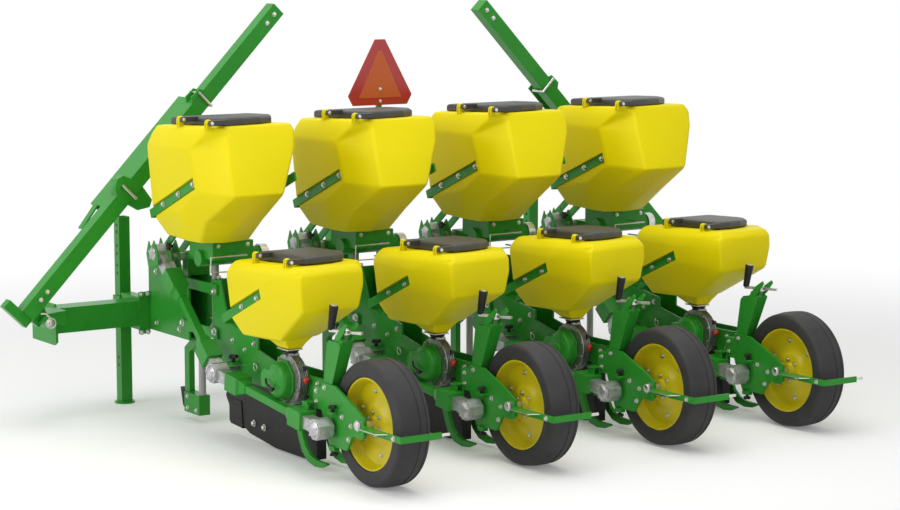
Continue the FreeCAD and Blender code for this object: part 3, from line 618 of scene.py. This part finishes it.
# Faces that carry bolts, and for each the bolts' size and places.
ROW_BOLTS = (
    ((-270, 270), ((11, [(1541, 1123), (1381, 1184), (1231, 1244)]),)),
    ((-224, 224), ((10, [(714, 764), (855, 708)]),)),
    ((-72, 72), ((14, [(1410, 697), (1410, 502), (1745, 697), (1745, 502)]),)),
    ((-60, 60), ((10, [(1128, 451), (1250, 480), (1040, 492), (700, 330), (450, 330), (450, 392)]),
                 (11, [(1800, 720), (1800, 460), (2050, 720), (2050, 460)]))),
    ((-25, 25), ((12, [(1110, 96), (1010, 92)]),)),
    ((-30, 30), ((9, [(1782, 120), (1782, 62), (1690, 62)]),)),
    ((-112,), ((9, [(150, 296), (75, 268), (300, 405), (372, 330), (372, 380), (95, 205)]),)),
    ((112,), ((9, [(150, 296), (75, 268), (372, 330), (372, 380)]),)),
    ((-122,), ((9, [(-150, 276), (-290, 276)]),)))


def wing_knob(mesh, seat, axis, radius, lobes=4):
    """Moulded hand knob with lobes on a short stem."""
    side, up = across(axis)
    axis = axis.normalized()
    count = lobes * 8
    outline = []
    for i in range(count):
        angle = 2 * math.pi * i / count
        reach = radius * (0.80 + 0.20 * math.cos(lobes * angle))
        outline.append((reach * math.cos(angle), reach * math.sin(angle)))
    mesh.rod(seat, seat + axis * radius * 0.75, radius * 0.38, 14)
    loops = []
    for height, scale in ((0.7, 0.86), (0.8, 1.0), (1.2, 1.0), (1.32, 0.84)):
        loops.append([seat + axis * radius * height + side * u * scale + up * v * scale for u, v in outline])
    mesh.rings(loops)


def make_bolts(row):
    """Bolts with their heads turned away from the row's centre, axle caps and the scraper's rod."""
    bolts = Mesh("row_bolts_%d" % (row + 1))
    for faces, groups in ROW_BOLTS:
        for x in faces:
            for size, places in groups:
                for y, z in places:
                    bolts.bolt(at(row, x, y, z), RIGHT if x > 0 else -RIGHT, size * MM, 0.75 * size * MM)
    for x in (-80, 80):
        for z in (775, 925):
            bolts.bolt(at(row, x, 1345, z), -AHEAD, 8 * MM, 6 * MM)
    cap = [(0, 0.020), (0.004, 0.020), (0.007, 0.017), (0.008, 0.011), (0.011, 0)]
    for x in (-128, 128):
        bolts.lathe(at(row, x, 0, 284), RIGHT if x > 0 else -RIGHT, cap, 28)
    bolts.rod(at(row, 80, -335, 276), at(row, 132, -335, 276), 0.007)
    bolts.bolt(at(row, 88, -335, 276), RIGHT, 7 * MM, 7 * MM)
    bolts.finish(STEEL, smooth=30)


def make_gearboxes(row):
    """Ribbed covers with four nuts on the outer ends of the gear housings."""
    caps = Mesh("gearbox_covers_%d" % (row + 1))
    nuts = Mesh("gearbox_nuts_%d" % (row + 1))
    dome = [(0, 0.040), (0.003, 0.040), (0.006, 0.034), (0.013, 0.028), (0.017, 0.016), (0.018, 0)]
    rib = [(0.008, -0.005), (0.036, -0.0035), (0.036, 0.0035), (0.008, 0.005)]
    ribs = 5
    for y, z in (DRIVE_FRONT, DRIVE_MIDDLE, DRIVE_REAR):
        seat = at(row, -203, y, z)
        caps.lathe(seat, -RIGHT, dome, 32)
        for i in range(ribs):
            angle = 2 * math.pi * (i + 0.25) / ribs
            flank = AHEAD * -math.sin(angle) + ABOVE * math.cos(angle)
            caps.prism(seat - RIGHT * 2 * MM, spoke(AHEAD, ABOVE, angle), flank, -RIGHT * 13 * MM, rib)
        for i in range(4):
            way = spoke(AHEAD, ABOVE, math.pi / 4 + math.pi / 2 * i)
            nuts.bolt(seat + way * 0.041, -RIGHT, 5 * MM, 4 * MM, 0)
    caps.finish(CAST, bevel=0.0012, smooth=32)
    nuts.finish(STEEL, smooth=30)


def make_meter(row):
    """Finned seed meter, with a green cover on its outer side and hand knobs behind it."""
    centre = at(row, 0, 640, 390)
    body = Mesh("seed_meter_body_%d" % (row + 1))
    profile = [(-0.112, 0.030), (-0.112, 0.116), (-0.108, 0.118), (-0.104, 0.118)]
    for step in range(4):
        x = -0.102 + 0.009 * step
        profile += [(x, 0.110), (x + 0.003, 0.109), (x + 0.004, 0.117), (x + 0.007, 0.117)]
    profile += [(-0.062, 0.112), (-0.0605, 0.104), (-0.0605, 0.030)]
    body.ring_lathe(centre, RIGHT, profile, 72)
    body.side_plate(row, -110, 50, [(0, 0), (0.080, 0), (0.066, 0.042), (0.014, 0.042)], 600, 470)
    screws = 10
    for i in range(screws):
        seat = centre + spoke(AHEAD, ABOVE, 2 * math.pi * (i + 0.5) / screws) * 0.109
        body.rod(seat + RIGHT * -0.119, seat + RIGHT * -0.100, 0.0065, 12)
    body.finish(METER, bevel=0.0010, smooth=28, replaces=["seed_meters"])
    cover = Mesh("seed_meter_cover_%d" % (row + 1))
    cover.side_plate(row, -112, -10, polygon(0.101, 8, math.pi / 8), 662, 384)
    cover.lathe(at(row, -120, 662, 384), -RIGHT, [
        (0, 0.088), (0.030, 0.084), (0.040, 0.078), (0.048, 0.062), (0.050, 0.030), (0.056, 0.026),
        (0.058, 0)], 40)
    cover.side_plate(row, -168, 40, [(0, -0.05), (0.08, -0.06), (0.085, 0.0), (0.06, 0.03), (0, 0.03)],
                     700, 400)
    cover.finish(GREEN, bevel=0.003, smooth=35)
    knobs = Mesh("seed_meter_knobs_%d" % (row + 1))
    wing_knob(knobs, at(row, -84, 534, 448), -AHEAD + ABOVE * 0.5, 0.014, 3)
    wing_knob(knobs, at(row, -84, 526, 330), -AHEAD - ABOVE * 0.4, 0.015, 3)
    wing_knob(knobs, at(row, -178, 640, 352), -RIGHT, 0.017, 2)
    knobs.pipe([at(row, -180, 715, 388), at(row, -192, 690, 372), at(row, -192, 640, 352)], 0.006)
    knobs.finish(BLACK, smooth=40, bevel=0.001)
    latch = Mesh("seed_meter_latch_%d" % (row + 1))
    latch.lathe(at(row, -84, 524, 402), -AHEAD, [
        (0, 0.005), (0.006, 0.005), (0.008, 0.014), (0.014, 0.016), (0.022, 0.014), (0.027, 0.008),
        (0.028, 0)], 20)
    latch.finish(RED, smooth=40)


def make_hand_fittings(row):
    """Hand knobs on their brackets, plates by the gearboxes and bent wire handles."""
    knobs = Mesh("hand_knobs_%d" % (row + 1))
    wing_knob(knobs, at(row, -92, 1186, 388), ABOVE, 0.026)
    wing_knob(knobs, at(row, -128, 208, 312), ABOVE, 0.022)
    wing_knob(knobs, at(row, -106, 232, 136), -ABOVE, 0.022)
    wing_knob(knobs, at(row, -138, 1712, 892), -RIGHT, 0.022, 6)
    knobs.finish(BLACK, smooth=40, bevel=0.001)
    seats = Mesh("knob_brackets_%d" % (row + 1))
    seats.block(at(row, -86, 1186, 383), (0.056, 0.060, 0.010))
    seats.block(at(row, -125, 208, 307), (0.034, 0.046, 0.010))
    seats.block(at(row, -106, 232, 141), (0.030, 0.046, 0.022))
    twin = [(0, 0), (0.150, 0), (0.165, 0.095), (0.135, 0.170), (0.100, 0.125), (0.060, 0.165),
            (0.020, 0.110)]
    outer = [(0, 0), (0.105, -0.020), (0.125, 0.045), (0.100, 0.110), (0.075, 0.070), (0.045, 0.118),
             (0, 0.060)]
    cheek = [(0, -0.12), (0.05, -0.12), (0.05, 0.03), (0, 0.03)]
    lug = [(0, -0.03), (0.05, -0.03), (0.05, 0.03), (0, 0.03)]
    for x, thickness, outline, y, z in ((-150, 8, twin, 1690, 752), (-106, 8, twin, 1690, 752),
                                        (-212, 7, outer, 1728, 800), (-118, 8, cheek, 380, 300),
                                        (-154, 8, lug, 380, 300)):
        seats.side_plate(row, x, thickness, outline, y, z)
    seats.block(at(row, -133, 405, 326), (0.050, 0.050, 0.008))
    seats.finish(GREEN, bevel=0.0015)
    wires = Mesh("wire_handles_%d" % (row + 1))
    wires.pipe([at(row, 0, 1346, 890), at(row, 0, 1210, 893), at(row, -196, 1205, 893),
                at(row, -196, 1205, 822), at(row, 0, 1210, 818), at(row, 0, 1346, 815)], 0.004)
    wires.pipe(loop_of(at(row, -76, 1000, 388), RIGHT, 0.016), 0.0022, 8)
    wires.rod(at(row, -84, 1000, 405), at(row, -58, 1000, 405), 0.006)
    wires.pipe([at(row, -74, 1410, 470), at(row, -84, 1390, 440), at(row, -84, 1400, 400),
                at(row, -84, 1430, 398), at(row, -84, 1436, 440), at(row, -84, 1418, 462)], 0.0025, 8)
    wires.finish(STEEL, smooth=40)


def make_scraper(row):
    """Edge plate of the wheel scraper, painted on its upper face."""
    plate = Mesh("scraper_plate_%d" % (row + 1))
    plate.prism(at(row, -168, -245, 284), RIGHT, AHEAD, ABOVE * 4 * MM,
                [(0, 0.03), (0.049, 0), (0.049, 0.195), (0, 0.175)])
    plate.finish(STEEL, bevel=0.001)
    face = Mesh("scraper_face_%d" % (row + 1))
    face.prism(at(row, -168, -245, 288), RIGHT, AHEAD, ABOVE * 1.2 * MM,
               [(0.005, 0.034), (0.046, 0.010), (0.046, 0.187), (0.005, 0.168)])
    face.finish(GREEN)


def make_shoe(row):
    """Square shoe across the front of the runner opener."""
    shoe = Mesh("runner_shoe_%d" % (row + 1))
    shoe.side_plate(row, -30, 60, [
        (1.215, 0.052), (1.335, 0.060), (1.350, 0.075), (1.350, 0.180), (1.230, 0.186)])
    shoe.finish(BLACK_PAINT, bevel=0.003)


def make_crank(row):
    """Tapered grip with a pale end cap on the depth crank, and the crank's boss."""
    grip = Mesh("crank_grip_%d" % (row + 1))
    way = Vector((0.05, -0.17, 1)).normalized()
    foot = at(row, -103, 258, 671)
    grip.lathe(foot, way, [
        (0, 0.012), (0.002, 0.015), (0.060, 0.018), (0.106, 0.021), (0.111, 0.0200), (0.113, 0.016)], 28)
    grip.finish(BLACK, smooth=40, replaces=["crank_grips"])
    cap = Mesh("crank_cap_%d" % (row + 1))
    cap.lathe(foot + way * 0.1132, way, [(0, 0.0155), (0.002, 0.0155), (0.0026, 0.013), (0.0027, 0)], 24)
    cap.lathe(at(row, -70, 184, 656), ABOVE, [
        (0, 0.020), (0.006, 0.020), (0.007, 0.015), (0.020, 0.015), (0.023, 0.011), (0.026, 0.011),
        (0.028, 0.007), (0.029, 0)], 24)
    cap.finish(STEEL, smooth=35)


def make_column(row):
    """Folded sheet round the depth column and its two bracing legs."""
    sheet = Mesh("column_sheet_%d" % (row + 1))
    side = [(0.330, 0.352), (0.256, 0.352), (0.250, 0.420), (0.176, 0.600), (0.186, 0.622), (0.270, 0.622),
            (0.290, 0.600)]
    front = [(0.336, 0.352), (0.330, 0.352), (0.290, 0.600), (0.270, 0.622), (0.276, 0.622), (0.296, 0.602)]
    leg = [(0.262, 0.600), (0.232, 0.600), (0.170, 0.650), (0.128, 0.700), (0.138, 0.712), (0.190, 0.680)]
    for x, thickness, outline in ((-106, 6, side), (-106, 70, front), (-102, 6, leg), (-44, 6, leg)):
        sheet.side_plate(row, x, thickness, outline)
    sheet.finish(GREEN, bevel=0.0015)


def make_guard_ends(row):
    """Tapered ends that close the wide ends of the shaft guards."""
    ends = Mesh("guard_ends_%d" % (row + 1))
    section = ((-4, 0.041), (0, 0.041), (7, 0.032), (46, 0.0215))
    for start, end, stops in ((DRIVE_FRONT, DRIVE_MIDDLE, (252, 598)),
                              (DRIVE_MIDDLE, DRIVE_REAR, (252, 733))):
        first = at(row, -165, *start)
        way = (at(row, -165, *end) - first).normalized()
        side, up = across(way)
        for stop, turn in zip(stops, (1, -1)):
            seat = first + way * stop * MM
            ends.rings([[seat + way * turn * depth * MM + side * u * half + up * v * half for u, v in SQUARE]
                        for depth, half in section])
    ends.finish(GREEN, bevel=0.002)


def make_knives(row):
    """Curved covering knives, one either side of the press wheel's track."""
    knives = Mesh("sickle_knives_%d" % (row + 1))
    spine = [(700, 326), (640, 262), (600, 196), (576, 130), (548, 78), (504, 44), (446, 30), (390, 32),
             (346, 42)]
    half_widths = [22, 22, 22, 21, 21, 20, 17, 13, 4]
    edges = []
    for i, (y, z) in enumerate(spine):
        y0, z0 = spine[max(i - 1, 0)]
        y1, z1 = spine[min(i + 1, len(spine) - 1)]
        run = Vector((y1 - y0, z1 - z0)).normalized()
        half = half_widths[i]
        edges.append(((y - run.y * half, z + run.x * half), (y + run.y * half, z - run.x * half)))
    thickness = 20
    for x in (-80, 60):
        outer = x + thickness
        knives.rings([[at(row, x, *a), at(row, outer, *a), at(row, outer, *b), at(row, x, *b)]
                      for a, b in edges])
    knives.finish(GREEN, bevel=0.003, replaces=["covering_knives"])


# ---------------------------------------------------------------- fittings of the stands, markers and emblem
STAND_HOLES = (200, 240, 680, 720, 781, 822, 893, 928)
MARKER_X = 1.93
MARKER_ANGLE = 46


def make_stand_fittings():
    """Black discs of painted shade for the holes up each leg, and the bolts, pin ends and pull rings of its
    sleeve.
    """
    leg_half = 0.030
    sleeve_half = 0.0385
    sleeve_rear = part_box("stand_sleeves")[0][1]
    for word in ("left", "right"):
        centre = middle("stand_" + word)
        # Thin black discs on both faces of the leg: painted shade standing in for the dark insides of the
        # holes.
        hole_shade = Mesh("stand_hole_shade_" + word, "stand_leg_" + word)
        for height in STAND_HOLES:
            for way in (RIGHT, -RIGHT):
                seat = Vector((centre.x, centre.y, height * MM)) + way * (leg_half - 0.0004)
                hole_shade.rod(seat, seat + way * 0.001, 0.0085, 18)
        hole_shade.finish(BLACK)
        fittings = Mesh("stand_fittings_" + word)
        for x in (-18, 18):
            for z in (404, 600):
                seat = Vector((centre.x + x * MM, sleeve_rear, z * MM))
                fittings.bolt(seat, -AHEAD, 10 * MM, 8 * MM)
        for way in (-1, 1):
            seat = Vector((centre.x + way * sleeve_half, centre.y, 0.505))
            fittings.rod(seat, seat + RIGHT * way * 0.016, 0.008)
            fittings.pipe(loop_of(seat + RIGHT * way * 0.012, RIGHT, 0.020), 0.0025, 8)
        fittings.finish(STEEL, smooth=35)


def make_marker_fittings():
    """Clip on each hinge pin, and the arm's bolts, clamps and plates, with black discs of painted shade for
    its holes.
    """
    pin_low, pin_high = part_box("marker_pins")
    for side, word in ((-1, "left"), (1, "right")):
        hinge = Vector((side * MARKER_X, 0, (pin_low[2] + pin_high[2]) / 2))
        clip = Mesh("marker_clip_" + word)
        seat = hinge + AHEAD * pin_low[1]
        clip.lathe(seat, -AHEAD, [
            (0, 0.022), (0.003, 0.022), (0.005, 0.018), (0.006, 0.010), (0.014, 0.009), (0.015, 0)], 28)
        clip.pipe(loop_of(seat - AHEAD * 0.010, AHEAD, 0.024), 0.0025, 8)
        clip.pipe([seat - AHEAD * 0.010 + ABOVE * 0.024,
                   seat - AHEAD * 0.012 + Vector((side * 0.03, 0, 0.05)),
                   seat - AHEAD * 0.012 + Vector((side * 0.055, 0, 0.052))], 0.004)
        clip.finish(STEEL, smooth=35)
        angle = math.radians(MARKER_ANGLE)
        along = Vector((-side * math.cos(angle), 0, math.sin(angle)))
        out = Vector((side * math.sin(angle), 0, math.cos(angle)))

        def place(u, v, y):
            """Millimetres along the folded arm, outboard of it and ahead of the wheels' axle."""
            return hinge + along * u * MM + out * v * MM + AHEAD * (AXLE.y + y * MM)

        body = "marker_" + word
        bolts = Mesh("marker_bolts_" + word, body)
        for u, v in ((650, 107), (700, 107), (1000, 107), (1252, 107), (1300, 107), (1312, 95)):
            bolts.bolt(place(u, v, 1968), -AHEAD, 9 * MM, 7 * MM)
        for u in (60, 110, 1880, 1940):
            bolts.bolt(place(u, 98, 1892), -AHEAD, 9 * MM, 7 * MM)
        for u in (750, 1362):
            clamp = ((52, 1978), (52, 1884), (148, 1884), (148, 1978))
            bolts.pipe([place(u, v, y) for v, y in clamp], 0.007)
        bolts.finish(STEEL, smooth=35)
        plates = Mesh("marker_plates_" + word, body)
        stop = [(0, 0), (0.090, 0), (0.080, 0.022), (0.020, 0.026)]
        hanger = [(0, 0), (0.120, 0), (0.105, -0.085), (0.070, -0.100), (0.015, -0.060)]
        saddle = [(0, 0), (0.110, 0), (0.095, 0.040), (0.060, 0.052), (0.020, 0.030)]
        for origin, thickness, outline in (
                ((1300, 136, 1890), 10, stop), ((1300, 136, 1950), 10, stop),
                ((700, 60, 1896), 8, hanger), ((695, 136, 1896), 66, saddle)):
            plates.prism(place(*origin), along, out, AHEAD * thickness * MM, outline)
        plates.finish(GREEN, bevel=0.001)
        # Thin black discs on the arm's face: painted shade standing in for the dark insides of the holes.
        hole_shade = Mesh("marker_hole_shade_" + word, body)
        for u in (760, 800, 840, 1080, 1120):
            seat = place(u, 107, 1968.3)
            hole_shade.rod(seat, seat - AHEAD * 0.001, 0.007, 16)
        hole_shade.finish(BLACK)


def make_emblem():
    """Sign with a red border round an orange middle, on two bolts."""
    low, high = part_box("slow_vehicle_emblem")
    half = (high[0] - low[0]) / 2
    tall = high[2] - low[2]
    thick = high[1] - low[1]
    film = 0.0008
    origin = Vector(((high[0] + low[0]) / 2, low[1], low[2]))
    border = Mesh("emblem_border")
    border.prism(origin, RIGHT, ABOVE, AHEAD * thick, [
        (-half + 0.030, 0), (half - 0.030, 0), (half, 0.052), (0.032, tall), (-0.032, tall), (-half, 0.052)])
    border.finish(EMBLEM_RED, bevel=0.001, replaces=["slow_vehicle_emblem"])
    inner = Mesh("emblem_middle")
    inner.prism(origin - AHEAD * film, RIGHT, ABOVE, AHEAD * film, [
        (-half + 0.066, 0.040), (half - 0.066, 0.040), (0.012, tall - 0.062), (-0.012, tall - 0.062)])
    inner.finish(ORANGE)
    bolts = Mesh("emblem_bolts")
    for height in (0.020, 0.085):
        bolts.bolt(origin + ABOVE * height - AHEAD * film, -AHEAD, 7 * MM, 5 * MM)
    bolts.finish(STEEL, smooth=35)


for row in range(4):
    hub = Vector((ROWS[row], AXLE.y, AXLE.z))
    make_tyre(row, hub)
    make_rim(row, hub)
    make_lid("fertiliser", row)
    make_lid("seed", row)
    for make in (make_hinge_pins, make_bolts, make_gearboxes, make_meter, make_hand_fittings, make_scraper,
                 make_shoe, make_crank, make_column, make_guard_ends, make_knives):
        make(row)
for row in range(4):
    make_hopper("fertiliser", row, FERT_RINGS, {(3, 1)}, FERT_STRAP, FERT_SLOTS)
    make_hopper("seed", row, SEED_RINGS, {(2, 1)}, SEED_STRAP, SEED_SLOTS)
    make_hopper_ears(row)
    make_throat(row)
make_stand_fittings()
make_marker_fittings()
make_emblem()


# ---------------------------------------------------------------- floor, light and camera
def combine(tree, operation, first, second):
    """Output of a maths node fed by two outputs."""
    node = tree.nodes.new("ShaderNodeMath")
    node.operation = operation
    tree.links.new(first, node.inputs[0])
    tree.links.new(second, node.inputs[1])
    return node.outputs[0]


def mixed(tree, factor, first, second):
    """Shader that goes from the first to the second as the factor rises."""
    node = tree.nodes.new("ShaderNodeMixShader")
    tree.links.new(factor, node.inputs["Fac"])
    tree.links.new(first, node.inputs[1])
    tree.links.new(second, node.inputs[2])
    return node.outputs[0]


def glow(tree, kind, strength):
    """White light of an emission or background node."""
    node = tree.nodes.new(kind)
    node.inputs["Color"].default_value = (1, 1, 1, 1)
    node.inputs["Strength"].default_value = strength
    return node.outputs[0]


def make_floor():
    """Plain pale floor that takes the shadows."""
    reach = 60.0
    data = bpy.data.meshes.new("floor")
    data.from_pydata([(x * reach, y * reach, 0) for x, y in SQUARE], [], [(0, 1, 2, 3)])
    floor = bpy.data.objects.new("floor", data)
    bpy.context.scene.collection.objects.link(floor)
    material, tree, shader = new_material("floor_white", (0.88, 0.88, 0.88), 0.9, gleam=0.1)
    vary(tree, shader, object_noise(tree, 2.0), (0.875, 0.875, 0.875), (0.885, 0.885, 0.885))
    whiten(tree, shader, 0.18, 2.6, 6.5)
    data.materials.append(material)


def whiten(tree, shader, strength, near, far):
    """Lift the floor where the camera or a reflection sees it, up to pure white from near to far out."""
    path = tree.nodes.new("ShaderNodeLightPath")
    seen = combine(tree, "MAXIMUM", path.outputs["Is Camera Ray"], path.outputs["Is Glossy Ray"])
    none = glow(tree, "ShaderNodeEmission", 0.0)
    lift = mixed(tree, seen, none, glow(tree, "ShaderNodeEmission", strength))
    both = tree.nodes.new("ShaderNodeAddShader")
    tree.links.new(shader.outputs[0], both.inputs[0])
    tree.links.new(lift, both.inputs[1])
    place = tree.nodes.new("ShaderNodeTexCoord")
    distance = tree.nodes.new("ShaderNodeVectorMath")
    distance.operation = "LENGTH"
    tree.links.new(place.outputs["Object"], distance.inputs[0])
    fade = tree.nodes.new("ShaderNodeMapRange")
    fade.interpolation_type = "SMOOTHSTEP"
    fade.inputs["From Min"].default_value = near
    fade.inputs["From Max"].default_value = far
    tree.links.new(distance.outputs["Value"], fade.inputs["Value"])
    share = combine(tree, "MULTIPLY", fade.outputs["Result"], seen)
    surface = mixed(tree, share, both.outputs[0], glow(tree, "ShaderNodeEmission", 1.0))
    out = next(node for node in tree.nodes if node.type == "OUTPUT_MATERIAL")
    tree.links.new(surface, out.inputs["Surface"])


def make_world():
    """White to the camera and to reflections, softer as a light."""
    world = bpy.data.worlds.new("studio")
    bpy.context.scene.world = world
    world.use_nodes = True
    tree = world.node_tree
    tree.nodes.clear()
    path = tree.nodes.new("ShaderNodeLightPath")
    seen = combine(tree, "MAXIMUM", path.outputs["Is Camera Ray"], path.outputs["Is Transmission Ray"])
    bright = combine(tree, "MAXIMUM", seen, path.outputs["Is Glossy Ray"])
    light = glow(tree, "ShaderNodeBackground", 0.44)
    white = glow(tree, "ShaderNodeBackground", 1.0)
    out = tree.nodes.new("ShaderNodeOutputWorld")
    tree.links.new(mixed(tree, bright, light, white), out.inputs["Surface"])


def make_light(name, place, aim, size, power):
    data = bpy.data.lights.new(name, "AREA")
    data.shape = "RECTANGLE"
    data.size = size[0]
    data.size_y = size[1]
    data.energy = power
    lamp = bpy.data.objects.new(name, data)
    bpy.context.scene.collection.objects.link(lamp)
    lamp.location = place
    lamp.rotation_euler = (Vector(aim) - Vector(place)).to_track_quat("-Z", "Y").to_euler()


def make_camera():
    """Behind the left end of the machine, a little above hopper height."""
    data = bpy.data.cameras.new("camera")
    camera = bpy.data.objects.new("camera", data)
    bpy.context.scene.collection.objects.link(camera)
    azimuth = math.radians(33.6)
    dip = math.radians(7.52)
    view = Vector((math.sin(azimuth) * math.cos(dip), math.cos(azimuth) * math.cos(dip), -math.sin(dip)))
    camera.location = (-6.681, AXLE.y - 8.789, 2.392)
    camera.rotation_euler = view.to_track_quat("-Z", "Y").to_euler()
    data.lens = 96.23
    data.sensor_width = 36.0
    data.clip_end = 500.0
    bpy.context.scene.camera = camera


make_floor()
make_world()
make_light("overhead", (-1.0, -1.0, 6.5), (0, 0, 0.6), (5, 5), 205)
make_light("left_side", (-8.5, 0.6, 3.6), (0, 0, 0.8), (5, 4), 205)
make_light("behind", (-2.0, -8.0, 4.0), (0, 0, 0.8), (5, 4), 60)
make_camera()
bpy.context.scene.view_settings.view_transform = "Standard"
